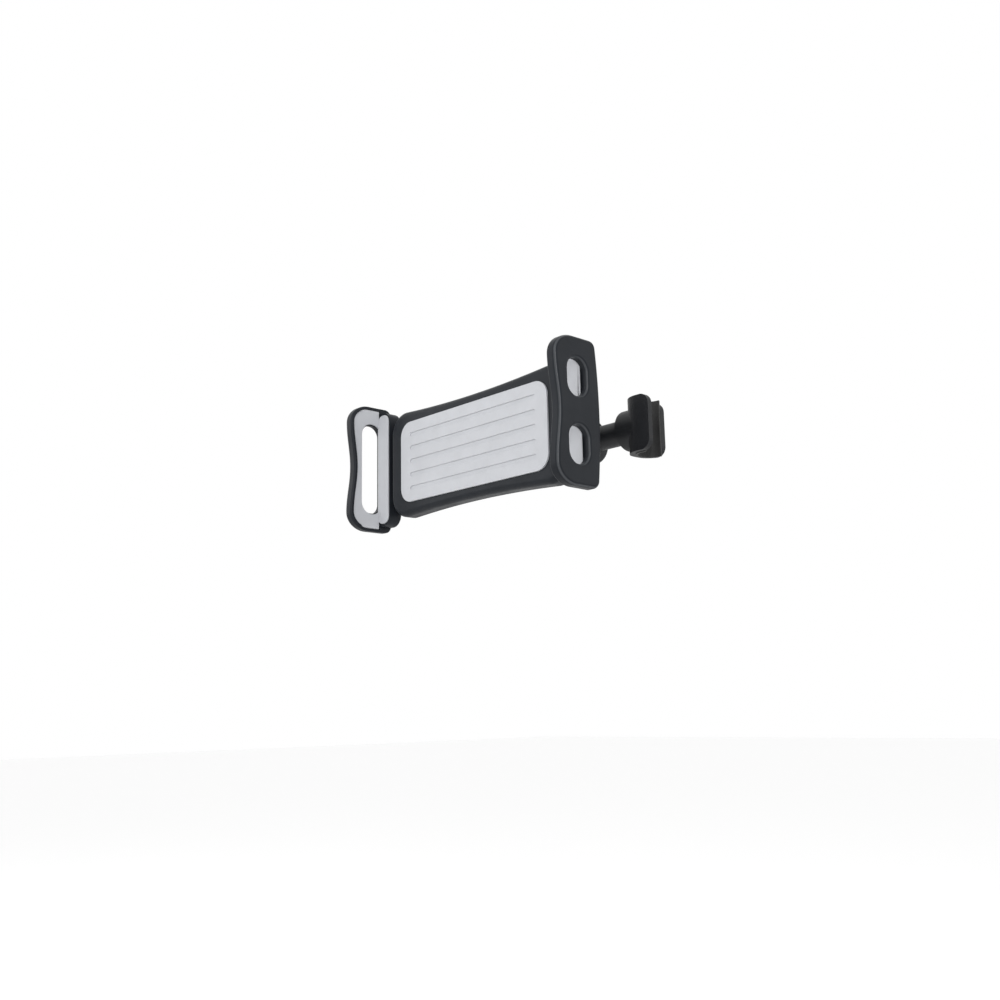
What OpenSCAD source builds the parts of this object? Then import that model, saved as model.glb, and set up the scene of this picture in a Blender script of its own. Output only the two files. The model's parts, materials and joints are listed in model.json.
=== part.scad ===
// Holder that carries a phone or a tablet behind a car's headrest.
// Millimetres. X runs along the clamp bar, -Y faces the person behind the seat, +Z is up.
// The origin is on the axis of the clamp bar, midway between the two headrest posts.

/* [Headrest posts] */
// Distance between the axes of the two posts
post_spacing = 164; // [156:1:176]
// Diameter of a post
post_d = 13; // [11:0.5:14]

/* [Hooks] */
// Height of a hook along its post
hook_h = 27; // [24:1:36]
// Wall of a hook
hook_wall = 2.8; // [2.4:0.1:3.6]
// Thickness of the rubber liner in a hook
liner_t = 1; // [0.8:0.1:1.8]
// How far the liner shows above and below its hook
liner_proud = 0.4; // [0.2:0.1:1.5]
// How far the tongue behind the seat runs past the axis of the post
tongue_l = 7.5; // [6:0.5:9]
// How far the shorter tongue runs past it, on the side of the headrest
back_tongue_l = 0.5; // [0.5:0.5:4]
// Corner radius at the tips of the tongues
tongue_r = 5; // [3:0.5:7]
// Diameter of the round hub behind a hook
hub_d = 20; // [19:0.5:24]
// Length of the hub that shows
hub_l = 3.6; // [2:0.1:4]
// Length of the spigot that carries a hook
spigot_l = 13.8; // [10:0.2:15]
// Diameter of the spigot
spigot_d = 8.4; // [7.4:0.2:9]

/* [Clamp bar] */
// Diameter of the sliding rod
rod_d = 12.2; // [11.8:0.2:13]
// Length of rod that shows between the collar and the hub
rod_show = 22.6; // [21.4:0.1:26]
// Wall of the fixed tube
tube_wall = 2.85; // [2.5:0.05:3.2]
// How far the rod can slide into the tube
slide_in = 20; // [10:1:20]
// Diameter of the locking collar
collar_d = 23.6; // [22.6:0.2:26]
// Length of the locking collar
collar_l = 24; // [20:1:26]
// Length of the split collet in the collar
collet_l = 7; // [5:0.5:9]
// Thickness of the collar's end face
collar_face = 1.3; // [1:0.1:2]

/* [Ball joint] */
// Diameter of the ball
ball_d = 16; // [15:0.2:16.4]
// Diameter of the neck behind the ball
neck_d = 7.2; // [6:0.2:7.6]
// Diameter of the boss that carries the ball
boss_d = 13; // [11:0.5:13.6]
// Thickness of the nylon seat round the ball
seat_t = 1.05; // [0.9:0.05:1.2]
// Wall of the socket's fingers
finger_wall = 2.45; // [2:0.05:2.6]
// Width of the slots between the fingers
finger_slot = 1.6; // [1:0.2:2.4]
// Number of slots
finger_slots = 6; // [4:1:8]
// Diameter over the lobes of the lock nut
nut_d = 29.6; // [29:0.2:32]
// Number of lobes on the lock nut
nut_lobes = 8; // [6:1:10]
// Height of the lock nut
nut_h = 11.4; // [10.4:0.2:11.4]

/* [Cradle] */
// Distance from the bar's axis to the back of the device
stand_off = 43.5; // [42.5:0.5:52]
// Height of the cradle's housing
body_h = 58; // [56:1:66]
// Corner radius of the housing
body_r = 12; // [8:1:14]
// How far the long edges draw in at the middle
body_waist = 2; // [1:0.1:2.4]
// Radius of the housing's front and back edges
body_edge = 3; // [2:0.1:3.4]
// Wall round the housing
body_wall = 1.8; // [1.4:0.1:2.2]
// Thickness of the front wall
front_wall = 1.8; // [1.6:0.1:2.4]
// Thickness of the rear wall
rear_wall = 2; // [1.6:0.1:2.6]
// Height of the grip pad above the front wall
grip_t = 0.8; // [0.5:0.1:1.2]
// Width of the grip pad
grip_w = 112; // [90:1:118]
// Height of the grip pad
grip_h = 44; // [36:1:46]
// Number of grooves along the grip pad
grip_grooves = 5; // [2:1:7]

/* [Arms] */
// Thickness of a sliding arm
arm_t = 3.4; // [3:0.1:4]
// Room between a jaw spring and the housing where its long edge draws in
spring_room = 1.2; // [0.8:0.1:2]
// Length of an arm past the middle of the cradle
arm_reach = 50; // [48:1:54]
// Travel of each jaw
jaw_travel = 44; // [30:1:44]
// Tooth size of rack and pinion, as module
gear_m = 0.8; // [0.7:0.05:0.85]
// Number of teeth on the pinion
gear_z = 12; // [12:2:14]
// Diameter of the pinion's axle
axle_d = 3; // [2.4:0.2:3.4]

/* [Jaws] */
// Clear width between the pads of the closed jaws
jaw_gap = 151.7; // [146:0.1:160]
// Height of a jaw
jaw_h = 70; // [66:0.5:75]
// Thickness of a jaw's end wall
jaw_wall = 3.8; // [3:0.1:4.4]
// Thickness of a jaw's pad
pad_t = 1.2; // [0.8:0.1:1.5]
// How far the front lip reaches over the device
lip_over = 0.8; // [0.6:0.1:3]
// Thickness of the front lip
lip_t = 2.6; // [2.2:0.1:3]
// Room between the back of the device and the lip, at the waist
channel_d = 14.2; // [13.6:0.2:19]
// How much further forward the jaw stands near its ends
jaw_bulge = 2.4; // [1:0.2:4]
// Radius of the jaw's front corners, seen from the side
jaw_corner = 12; // [10:0.5:13]
// Width of the back flange
flange_w = 13.9; // [13:0.1:15]
// Thickness of the back flange
flange_t = 9.2; // [7.2:0.1:10]
// How much lower than the end wall the flange ends
flange_drop = 3; // [1:0.5:5]
// Width of the windows
window_w = 12.6; // [10:0.2:12.8]
// Height of each window of a pair
window_h = 18; // [16:0.1:20]
// Distance between the centres of a pair
window_pitch = 31.5; // [28:0.1:34]
// Corner radius of the windows
window_r = 6; // [3:0.5:7]
// Rim left round the pad
pad_rim = 1.6; // [1.2:0.1:2.2]

/* [Fasteners] */
// Diameter of the small screws
screw_d = 2.4; // [2:0.1:2.6]
// Diameter of the screws that hold the hooks
hook_screw_d = 3; // [2.6:0.1:3.4]

/* [Springs] */
// Outer diameter of a jaw spring
spring_d = 3.6; // [3:0.1:4]
// Diameter of the spring wire
wire_d = 0.7; // [0.5:0.05:0.9]

/* [Hidden] */
$fn = 64;

// Clearances
run_gap = 0.05;
slide_gap = 0.2;
seat_gap = 0.3;
over = 20;

// Clamp bar, along X
post_r = post_d / 2;
post_x = post_spacing / 2;
hook_in_r = post_r + liner_t;
hook_r = hook_in_r + hook_wall;
hub_x = post_x - hook_r - hub_l;
rod_r = rod_d / 2;
spigot_r = spigot_d / 2;
tube_in_r = rod_r + run_gap;
tube_r = tube_in_r + tube_wall;
nose_r = tube_r - 0.7;
collar_r = collar_d / 2;
collar_x1 = hub_x - rod_show;
collar_x0 = collar_x1 - collar_l;
collet_x1 = collar_x1 - collar_face - seat_gap;
collet_x0 = collet_x1 - collet_l;
plug_l = 8;
plug_gap = 1;
tube_plug_x = -hub_x + spigot_l + slide_gap;
rod_x0 = tube_plug_x + plug_l + plug_gap + slide_in;
rod_plug_x = hub_x - spigot_l - slide_gap;
hook_screw_r = hook_screw_d / 2;
hook_head_h = 1.5;
flute_count = 14;

// Depths, along Y, from the device back to the rear cover
y_device = -stand_off;
y_front = y_device + grip_t;
y_hollow0 = y_front + front_wall;
y_arm0 = y_hollow0 + slide_gap;
y_arm1 = y_arm0 + arm_t;
retainer_t = 1;
y_retainer0 = y_arm1 + slide_gap;
y_retainer1 = y_retainer0 + retainer_t;
disc_t = 2.2;
y_disc0 = y_retainer1 + slide_gap;
y_disc1 = y_disc0 + disc_t;
y_hollow1 = y_disc1 + slide_gap;
y_back = y_hollow1 + rear_wall;
y_split = y_disc0 + 0.9;

// Ball joint, round an axis along Y
ball_r = ball_d / 2;
y_ball = y_back + 9;
seat_in_r = ball_r + run_gap;
seat_out_r = seat_in_r + seat_t;
socket_in_r = seat_out_r + run_gap;
socket_r = socket_in_r + finger_wall;
spin_r = socket_r + 1.4;
disc_r = spin_r + 3;
nut_in_r = socket_r + run_gap;
nut_mouth_r = seat_out_r - 0.5;
y_finger = y_ball + 0.45 * ball_r;
y_nut1 = y_ball + 5;
y_nut0 = y_nut1 - nut_h;
y_boss = -(tube_r + 3);
neck_r = neck_d / 2;
boss_r = boss_d / 2;
stud_shank_r = 2.8;
stud_shank_l = 4.6;

// Jaws, along X
pad_x = jaw_gap / 2;
wall_x = pad_x + pad_t;
jaw_x1 = wall_x + jaw_wall;
lip_x = pad_x - lip_over;
flange_x = jaw_x1 - flange_w;
body_half = flange_x - 0.5;
y_flange = y_device + 0.8;
y_jaw_back = y_flange + flange_t;
y_lip = y_device - channel_d;
y_jaw_front = y_lip - lip_t;
window_y = y_lip + 3.3 + window_w / 2;
y_channel = y_device - 12;
half_h = jaw_h / 2;
arm_end_x = wall_x - 0.6;

// Rack and pinion
pitch_r = gear_m * gear_z / 2;
pressure = 25;
backlash = 0.16;
tooth_pitch = PI * gear_m;
spring_lift = 1.4;
arm_z0 = pitch_r + 1.25 * gear_m;
arm_z1 = body_h / 2 - body_waist - body_wall - spring_room - spring_d - spring_lift;
arm_h = arm_z1 - arm_z0;
axle_r = axle_d / 2;

// Jaw springs
spring_r = spring_d / 2;
spring_z = arm_z1 + spring_r + spring_lift;
spring_y = y_arm0 + seat_gap + spring_r;
spring_x0 = 3;
spring_l = 0.84 * arm_reach;
spring_x1 = spring_x0 + spring_l;
spring_pin_r = 0.8;

// Lightening slots of an arm
arm_slot_pitch = 0.24 * arm_reach;

// Screws
screw_r = screw_d / 2;
head_r = screw_r * 1.9;
head_h = 1.3;
jaw_head_h = 1.1;
y_jaw_head = y_jaw_back - 0.35;
cover_screw_x = body_half - 9.5;
cover_screw_z = arm_z1 + 4.2;
retainer_r = disc_r + 5.5;
retainer_screw_r = disc_r + 2.9;
retainer_flat = arm_z1 + 0.5;
jaw_screw_x = flange_x + 5.4;

// Colours
jaw_grey = [0.20, 0.21, 0.23];
clamp_black = [0.13, 0.13, 0.14];
silicone_grey = [0.67, 0.68, 0.70];
rubber_black = [0.08, 0.08, 0.08];
nylon_white = [0.85, 0.85, 0.82];
steel = [0.70, 0.71, 0.73];

// Shapes turned round an axis. The profile's points are [radius, place along the axis].
module turned_x() { rotate([0, 90, 0]) rotate_extrude() children(); }
module turned_y() { rotate([-90, 0, 0]) rotate_extrude() children(); }

// Bars and holes along each axis
module rod_x(r, x0, x1) { translate([x0, 0, 0]) rotate([0, 90, 0]) cylinder(r = r, h = x1 - x0); }
module rod_y(r, y0, y1) { translate([0, y0, 0]) rotate([-90, 0, 0]) cylinder(r = r, h = y1 - y0); }

// A flat shape drawn in X and Z, given a depth along Y
module plate_y(y0, y1) {
    translate([0, y1, 0]) rotate([90, 0, 0]) linear_extrude(y1 - y0) children();
}

// A flat shape drawn in Y and Z, given a length along X
module plate_x(x0, x1) {
    translate([x0, 0, 0]) rotate([90, 0, 90]) linear_extrude(x1 - x0) children();
}

// A rectangle with round corners, centred
module round_rect(w, h, r) {
    square([w - 2 * r, h], center = true);
    square([w, h - 2 * r], center = true);
    for (sx = [-1, 1], sy = [-1, 1])
        translate([sx * (w / 2 - r), sy * (h / 2 - r)]) circle(r);
}

// Both sides of the holder, seen from the middle
module right_side() { children(); }
module left_side() { mirror([1, 0, 0]) children(); }

// Outlines as lists of points, going round to the left, and their inset
function arc(cx, cy, rx, ry, a0, a1, n) =
    [for (i = [0:n]) let (a = a0 + (a1 - a0) * i / n) [cx + rx * cos(a), cy + ry * sin(a)]];

function rect_outline(w, h, r, n = 6) = concat(
    arc(w / 2 - r, h / 2 - r, r, r, 0, 90, n),
    arc(-w / 2 + r, h / 2 - r, r, r, 90, 180, n),
    arc(-w / 2 + r, -h / 2 + r, r, r, 180, 270, n),
    arc(w / 2 - r, -h / 2 + r, r, r, 270, 360, n));

function inset(pts, d) = let (n = len(pts)) [
    for (i = [0:n - 1]) let (
        t = pts[(i + 1) % n] - pts[(i + n - 1) % n],
        k = d / norm(t)
    ) pts[i] + k * [-t[1], t[0]]];

// A solid through one outline at several heights. A layer is [height, inset].
module loft(outline, layers) {
    n = len(outline);
    m = len(layers);
    rings = [for (l = layers) [for (p = inset(outline, l[1])) [p[0], p[1], l[0]]]];
    polyhedron(
        points = [for (ring = rings, p = ring) p],
        faces = concat(
            [[for (i = [0:n - 1]) i]],
            [[for (i = [n - 1:-1:0]) (m - 1) * n + i]],
            [for (j = [0:m - 2], i = [0:n - 1]) let (a = j * n + i, b = j * n + (i + 1) % n)
                each [[a, b + n, b], [a, a + n, b + n]]]),
        convexity = 6);
}

// The same for a round-cornered outline with no hollow side, made level by level
module block(outline, layers) {
    for (i = [0:len(layers) - 2]) hull() loft(outline, [layers[i], layers[i + 1]]);
}

// Side of a jaw, in Y and Z. The front edge swells near both ends and draws in at the waist.
swell_z = half_h - 10;
jaw_back_r = 4;
jaw_back_crown = 1.7;
front_steps = 12;

function jaw_front_y(z) = y_jaw_front - jaw_bulge * (1 - cos(180 * z / swell_z)) / 2;
function jaw_back_y(z) = y_jaw_back - jaw_back_crown * pow(z / (half_h - jaw_back_r), 2);
function jaw_outline() = let (
        y_end = y_jaw_front - jaw_bulge,
        y_corner = y_jaw_back - jaw_back_crown - jaw_back_r
    ) concat(
        [for (i = [0:front_steps - 1]) let (z = swell_z * (1 - 2 * i / front_steps)) [jaw_front_y(z), z]],
        arc(y_end + jaw_corner, -swell_z, jaw_corner, half_h - swell_z, 180, 270, 6),
        arc(y_corner, -half_h + jaw_back_r, jaw_back_r, jaw_back_r, 270, 360, 3),
        [for (i = [1:5]) let (z = (half_h - jaw_back_r) * (i / 3 - 1)) [jaw_back_y(z), z]],
        arc(y_corner, half_h - jaw_back_r, jaw_back_r, jaw_back_r, 0, 90, 3),
        arc(y_end + jaw_corner, swell_z, jaw_corner, half_h - swell_z, 90, 165, 5));

// A loft whose outline is drawn in Y and Z and whose layers run along X
module loft_x(outline, layers) { rotate([90, 0, 90]) loft(outline, layers); }

// A window through a jaw's end wall, with a soft outer rim
module jaw_window(h, grow) {
    translate([0, window_y, 0]) rotate([90, 0, 90]) block(
        rect_outline(window_w, h, window_r, 5),
        [[wall_x - 1.8, -grow], [jaw_x1 - 1.6, -grow], [jaw_x1 - 0.9, -grow - 0.25],
         [jaw_x1 - 0.3, -grow - 0.8], [jaw_x1 + 0.2, -grow - 1.5]]);
}

module jaw_windows(long_window, grow = 0) {
    if (long_window) jaw_window(window_pitch + window_h, grow);
    else for (s = [-1, 1]) translate([0, 0, s * window_pitch / 2]) jaw_window(window_h, grow);
}

// The space that the device and its case slide into, in front of the back flange
module device_channel() {
    translate([lip_x - over, y_jaw_front - jaw_bulge - 5, -jaw_h])
        cube([over, y_flange - y_jaw_front + jaw_bulge + 5, 2 * jaw_h]);
    intersection() {
        loft_x(jaw_outline(), [[lip_x - 1, lip_t], [pad_x, lip_t]]);
        translate([lip_x - 1, y_jaw_front - over, -jaw_h]) cube([over, y_flange - y_jaw_front + over, 2 * jaw_h]);
    }
    translate([lip_x - 1, y_channel, -jaw_h]) cube([lip_over + 1, y_flange - y_channel, 2 * jaw_h]);
}

// A jaw's end wall with its front lip, as one shell
module jaw_shell() {
    difference() {
        loft_x(jaw_outline(), [
            [lip_x, 1.1], [lip_x + 0.4, 0.4], [lip_x + 1.1, 0], [jaw_x1 - 3, 0],
            [jaw_x1 - 1.4, 0.4], [jaw_x1 - 0.4, 1.3], [jaw_x1, 2.5]]);
        device_channel();
        intersection() {
            loft_x(jaw_outline(), [[pad_x - 0.02, pad_rim], [wall_x, pad_rim]]);
            translate([lip_x - 1, y_jaw_front - over, -jaw_h])
                cube([over, y_flange - y_jaw_front + over, 2 * jaw_h]);
        }
    }
}

// The flange behind the device, which takes the end of the arm
module jaw_flange() {
    flange_h = jaw_h - 2 * flange_drop;
    flange_mid = (flange_x + jaw_x1) / 2;
    intersection() {
        translate([flange_mid + 3, y_jaw_back, 0]) rotate([90, 0, 0]) block(
            rect_outline(flange_w + 6, flange_h, 6, 5),
            [[0, 2.2], [0.5, 1.1], [1.4, 0.3], [2.6, 0], [flange_t, 0]]);
        loft_x(jaw_outline(), [[flange_x - 1, 0], [jaw_x1 - 1.4, 0.4]]);
    }
}

// The arm's pocket and screw holes in the flange
module arm_pocket(grow, s) {
    translate([flange_x - 1, y_arm0 - grow, s > 0 ? arm_z0 - grow : -arm_z1 - grow])
        cube([arm_end_x - flange_x + 1 + grow, arm_t + 2 * grow, arm_h + 2 * grow]);
}

module jaw_screw_places(s) {
    for (k = [0.2, 0.62]) translate([jaw_screw_x, 0, s * (arm_z0 + k * arm_h)]) children();
}

module jaw(long_window, s) {
    difference() {
        union() {
            jaw_shell();
            jaw_flange();
        }
        jaw_windows(long_window);
        arm_pocket(0.1, s);
        jaw_screw_places(s) {
            rod_y(screw_r + run_gap, y_arm1 - 1, y_jaw_back + 1, $fn = 24);
            rod_y(head_r + run_gap, y_jaw_head - jaw_head_h, y_jaw_back + 1, $fn = 24);
        }
    }
}

// Soft pad inside a jaw: a sheet on the end wall and a sheet on the flange
module jaw_pad(long_window) {
    fit = pad_rim + 0.15;
    difference() {
        intersection() {
            loft_x(jaw_outline(), [[pad_x, fit + 0.3], [pad_x + 0.3, fit], [wall_x, fit]]);
            translate([pad_x - 1, y_jaw_front - over, -jaw_h])
                cube([over, y_device - y_jaw_front + over, 2 * jaw_h]);
        }
        jaw_windows(long_window, 0.6);
    }
    pad_w = wall_x - flange_x - 0.8;
    translate([wall_x - pad_w / 2, y_flange, 0]) rotate([90, 0, 0]) block(
        rect_outline(pad_w, jaw_h - 2 * flange_drop - 3, 4),
        [[0, 0], [0.3, 0], [0.5, 0.08], [0.65, 0.2], [0.8, 0.4]]);
}

module jaw_screws(s) {
    jaw_screw_places(s) difference() {
        union() {
            rod_y(screw_r, y_arm0 + 0.6, y_jaw_head - jaw_head_h + 0.01);
            rod_y(head_r, y_jaw_head - jaw_head_h, y_jaw_head);
        }
        rod_y(screw_r * 0.9, y_jaw_head - 0.7, y_jaw_head + 1, $fn = 6);
    }
}

// Rack teeth that point down, along the lower edge of an arm
module rack(x0, x1) {
    tip = tooth_pitch / 4 - backlash / 2 - gear_m * tan(pressure);
    root = tooth_pitch / 4 - backlash / 2 + 1.25 * gear_m * tan(pressure);
    z_tip = pitch_r - gear_m;
    first = ceil(x0 / tooth_pitch);
    last = floor(x1 / tooth_pitch);
    for (i = [first:last - 1]) translate([(i + 0.5) * tooth_pitch, 0])
        polygon([[-root, arm_z0 + 0.01], [-tip, z_tip], [tip, z_tip], [root, arm_z0 + 0.01]]);
}

// A sliding arm, drawn for the left jaw: it lies above the pinion and runs to the right
module arm_shape() {
    difference() {
        union() {
            plate_y(y_arm0, y_arm1) {
                translate([-arm_end_x, arm_z0]) square([arm_end_x + arm_reach, arm_h]);
                rack(-4, arm_reach);
            }
            translate([spring_x0 - 1.7, y_arm0, arm_z1 - 1]) cube([3.4, 1.1, spring_z - arm_z1 + 2.6]);
            translate([spring_x0, 0, spring_z]) rod_y(spring_pin_r, y_arm0, y_arm1);
        }
        mirror([1, 0, 0]) jaw_screw_places(1) rod_y(screw_r + 0.01, y_arm0 - 1, y_arm1 + 1);
        for (i = [2:4]) translate([-(i + 1 / 3) * arm_slot_pitch, 0, arm_z0 + arm_h / 2])
            plate_y(y_arm0 - 1, y_arm1 + 1) round_rect(arm_slot_pitch * 2 / 3, arm_h - 6, arm_slot_pitch / 5);
    }
}

// Involute pinion that meshes with both racks
function roll(r, rb) = sqrt(max(0, pow(r / rb, 2) - 1)) * 180 / PI;
function flank_angle(r) = let (rb = pitch_r * cos(pressure), a = roll(max(r, rb), rb)) a - atan(a * PI / 180);

module pinion_outline() {
    half = 90 / gear_z - backlash / 4 / pitch_r * 180 / PI + flank_angle(pitch_r);
    r_root = pitch_r - 1.25 * gear_m;
    r_tip = pitch_r + gear_m - 0.05;
    r_base = pitch_r * cos(pressure);
    radii = [r_root, r_base, pitch_r - 0.15, pitch_r + 0.25, r_tip];
    polygon([for (i = [0:gear_z - 1]) each concat(
        [for (r = radii) let (a = 90 + 360 * i / gear_z - half + flank_angle(r)) r * [cos(a), sin(a)]],
        [for (k = [len(radii) - 1:-1:0]) let (r = radii[k], a = 90 + 360 * i / gear_z + half - flank_angle(r))
            r * [cos(a), sin(a)]])]);
}

// A jaw spring: its row of turns as one ribbed sleeve, with an eye at each end
module jaw_spring() {
    eye_r = spring_pin_r + seat_gap + wire_d / 2;
    coil_x0 = spring_x0 + eye_r + 0.6;
    coil_l = spring_x1 - spring_x0 - 2 * eye_r - 1.2;
    turns = 22;
    pitch = coil_l / turns;
    translate([0, spring_y, spring_z]) {
        turned_x() polygon(concat(
            [[spring_r - wire_d, coil_x0]],
            [for (i = [0:turns - 1]) each [
                [spring_r - wire_d / 2, coil_x0 + i * pitch], [spring_r, coil_x0 + (i + 0.3) * pitch],
                [spring_r, coil_x0 + (i + 0.7) * pitch]]],
            [[spring_r - wire_d / 2, coil_x0 + coil_l], [spring_r - wire_d, coil_x0 + coil_l]]));
        for (e = [[spring_x0, 1], [spring_x1, -1]]) translate([e[0], 0, 0]) {
            rotate([90, 0, 0]) rotate_extrude($fn = 24) translate([eye_r, 0]) circle(wire_d / 2, $fn = 16);
            translate([e[1] * eye_r, 0, 0]) rotate([0, e[1] * 90, 0]) cylinder(r = wire_d / 2, h = 1.2, $fn = 16);
            translate([e[1] * (eye_r + 0.9), 0, 0]) rod_x(spring_r - wire_d / 2, -0.3, 0.3);
        }
    }
}

// Housing of the cradle: one rounded slab that both shells are cut from
module body_outline(d) {
    chord = body_half - body_r;
    waist_r = (chord * chord + body_waist * body_waist) / (2 * body_waist);
    difference() {
        round_rect(2 * (body_half - d), body_h - 2 * d, body_r - d);
        for (s = [-1, 1]) translate([0, s * (body_h / 2 - body_waist + waist_r)]) circle(waist_r + d, $fn = 200);
    }
}

module body_slab() {
    depth = y_back - y_front;
    intersection() {
        plate_y(y_front, y_back) body_outline(0);
        translate([0, (y_front + y_back) / 2, -body_h]) linear_extrude(2 * body_h)
            round_rect(2 * body_half, depth, body_edge);
        translate([0, (y_front + y_back) / 2, 0]) plate_x(-body_half, body_half) round_rect(depth, body_h, body_edge);
    }
}

module cover_screw_places() {
    for (sx = [-1, 1], sz = [-1, 1]) translate([sx * cover_screw_x, 0, sz * cover_screw_z]) children();
}

module retainer_screw_places() {
    for (a = [45:90:315]) rotate([0, a, 0]) translate([retainer_screw_r, 0, 0]) children();
}

// The slots that the arms come out of: the left one above the middle, the right one below it
module arm_slots() {
    for (s = [-1, 1]) translate([s * (body_half - 2), y_arm0 - slide_gap, s < 0 ? arm_z0 - gear_m - slide_gap : -arm_z1 - slide_gap])
        translate([s < 0 ? -4 : -1, 0, 0]) cube([5, arm_t + 2 * slide_gap, arm_h + gear_m + 2 * slide_gap]);
}

// Ribs that guide the arms: a pair along the middle and two short ones outside each arm
module arm_guides() {
    rib_z = pitch_r - gear_m - slide_gap;
    for (a = [0, 180]) rotate([0, a, 0]) {
        translate([14, y_hollow0 - 0.5, -rib_z]) cube([body_half - 15, arm_t + 0.5, 2 * rib_z]);
        for (x = [14, 9.5 - body_half]) translate([x, y_hollow0 - 0.5, arm_z1 + slide_gap])
            cube([12, arm_t, 1]);
    }
}

// The pad's shallow seat in the front wall, and its grooves
grip_sink = 0.6;
groove_w = 2.2;

module grip_outline(d) { round_rect(grip_w - 2 * d, grip_h - 2 * d, 8 - d); }

// Modules of the pieces

module outer_tube() color(clamp_black) {
    difference() {
        union() {
            turned_x() polygon([
                [0, -hub_x], [tube_r, -hub_x], [tube_r, collar_x0 - seat_gap],
                [nose_r, collar_x0 - seat_gap], [nose_r, collet_x0], [0, collet_x0]]);
            rod_y(boss_r, y_boss, 0);
        }
        rod_x(tube_in_r, tube_plug_x + plug_l, collet_x0 + 1);
        rod_x(spigot_r + run_gap, -hub_x - 1, tube_plug_x);
        rod_x(hook_screw_r + 0.02, tube_plug_x - 1, tube_plug_x + plug_l + 1);
        rod_y(stud_shank_r + 0.02, y_boss - 1, y_boss + stud_shank_l + 0.1);
    }
}

module tube_collet() color(nylon_white) {
    difference() {
        turned_x() polygon([
            [tube_in_r, collet_x0], [nose_r - 0.3, collet_x0], [nose_r - 0.3, collet_x0 + 1],
            [tube_in_r + 0.7, collet_x1], [tube_in_r, collet_x1]]);
        for (a = [0:45:135]) rotate([a, 0, 0])
            translate([collet_x0 + 2, -0.5, -over / 2]) cube([collet_l, 1, over]);
    }
}

module ball_stud() color(clamp_black) {
    translate([0, y_ball, 0]) sphere(ball_r);
    turned_y() polygon([
        [0, y_ball], [neck_r, y_ball], [neck_r, y_boss - 1.4], [neck_r + 0.5, y_boss - 0.5],
        [neck_r + 1.3, y_boss], [stud_shank_r, y_boss], [stud_shank_r, y_boss + stud_shank_l],
        [0, y_boss + stud_shank_l]]);
}

// One half of a hook's U, from depth y, with its tongue from depth y_tongue
module hook_half(y, y_tongue, l) {
    intersection() {
        translate([post_x, 0, -hook_h / 2]) linear_extrude(hook_h) union() {
            circle(hook_r);
            translate([0, y_tongue]) square([l, hook_r]);
        }
        plate_y(y, y + hook_r) translate([(hub_x + post_x + l) / 2, 0])
            round_rect(post_x + l - hub_x, hook_h, tongue_r);
    }
}

// A hook, drawn for the right post: its spigot, its round hub and the U round the post
module hook() {
    difference() {
        union() {
            rod_x(spigot_r, hub_x - spigot_l, hub_x + 0.01);
            rod_x(hub_d / 2, hub_x, post_x - 2);
            hook_half(-hook_r, -hook_r, tongue_l);
            hook_half(0, 0, back_tongue_l);
        }
        translate([post_x, 0, -hook_h]) linear_extrude(2 * hook_h) union() {
            circle(hook_in_r);
            translate([0, -hook_in_r]) square([over, 2 * hook_in_r]);
        }
        rod_x(hook_screw_r + run_gap, hub_x - spigot_l - 1, post_x);
        rod_x(hook_screw_r * 1.9 + run_gap, post_x - hook_in_r - hook_head_h, post_x);
    }
}

module hook_liner() {
    liner_h = hook_h + 2 * liner_proud;
    translate([post_x, 0, -liner_h / 2]) linear_extrude(liner_h) difference() {
        union() {
            circle(hook_in_r);
            translate([0, -hook_in_r]) square([tongue_l - tongue_r, hook_in_r]);
        }
        circle(post_r);
        translate([0, -post_r]) square([over, 2 * post_r]);
        translate([tongue_l - tongue_r, -over]) square([over, 2 * over]);
        translate([back_tongue_l, 0]) square([over, over]);
    }
}

module hook_screw() {
    head_x = post_x - hook_in_r - hook_head_h;
    rod_x(hook_screw_r, rod_plug_x - plug_l + 1, head_x + 0.01);
    difference() {
        rod_x(hook_screw_r * 1.9, head_x, head_x + hook_head_h - 0.1);
        rod_x(hook_screw_r * 0.8, head_x + 0.5, head_x + over);
    }
}

module left_hook() color(clamp_black) left_side() hook();
module right_hook() color(clamp_black) right_side() hook();
module left_hook_liner() color(rubber_black) left_side() hook_liner();
module right_hook_liner() color(rubber_black) right_side() hook_liner();
module left_hook_screw() color(steel) left_side() hook_screw();
module right_hook_screw() color(steel) right_side() hook_screw();

module sliding_rod() color(clamp_black) {
    difference() {
        rod_x(rod_r, rod_x0, hub_x);
        rod_x(spigot_r + run_gap, rod_plug_x, hub_x + 1);
        rod_x(spigot_r + run_gap, rod_x0 - 1, rod_plug_x - plug_l);
        rod_x(hook_screw_r + 0.02, rod_plug_x - plug_l - 1, rod_plug_x + 1);
    }
}

module lock_collar() color(clamp_black) {
    flute_r = 2.2;
    difference() {
        turned_x() polygon([
            [nose_r + run_gap, collar_x0], [collar_r - 0.8, collar_x0], [collar_r, collar_x0 + 0.8],
            [collar_r, collar_x1 - 1.4], [collar_r - 0.5, collar_x1 - 0.5], [collar_r - 1.5, collar_x1],
            [rod_r + seat_gap, collar_x1], [rod_r + seat_gap, collet_x1 + seat_gap],
            [tube_in_r + 0.7 + seat_gap, collet_x1 + seat_gap], [nose_r + run_gap, collet_x0 + 1]]);
        for (i = [0:flute_count - 1]) rotate([360 * i / flute_count, 0, 0])
            translate([0, 0, collar_r + flute_r - 0.7]) rod_x(flute_r, collar_x0 + 3, collar_x1 - 3.4);
    }
}

// The seat, the socket and the nut are all turned round the axis through the ball
module shell_profile(r_out, r_in, y0, y1) {
    intersection() {
        translate([0, y_ball]) difference() {
            circle(r_out);
            circle(r_in);
        }
        translate([0, y_ball + y0]) square([over, y1 - y0]);
    }
}

module ball_seat() color(nylon_white) turned_y()
    shell_profile(seat_out_r, seat_in_r, -0.94 * ball_r, 0.4 * ball_r);

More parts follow.
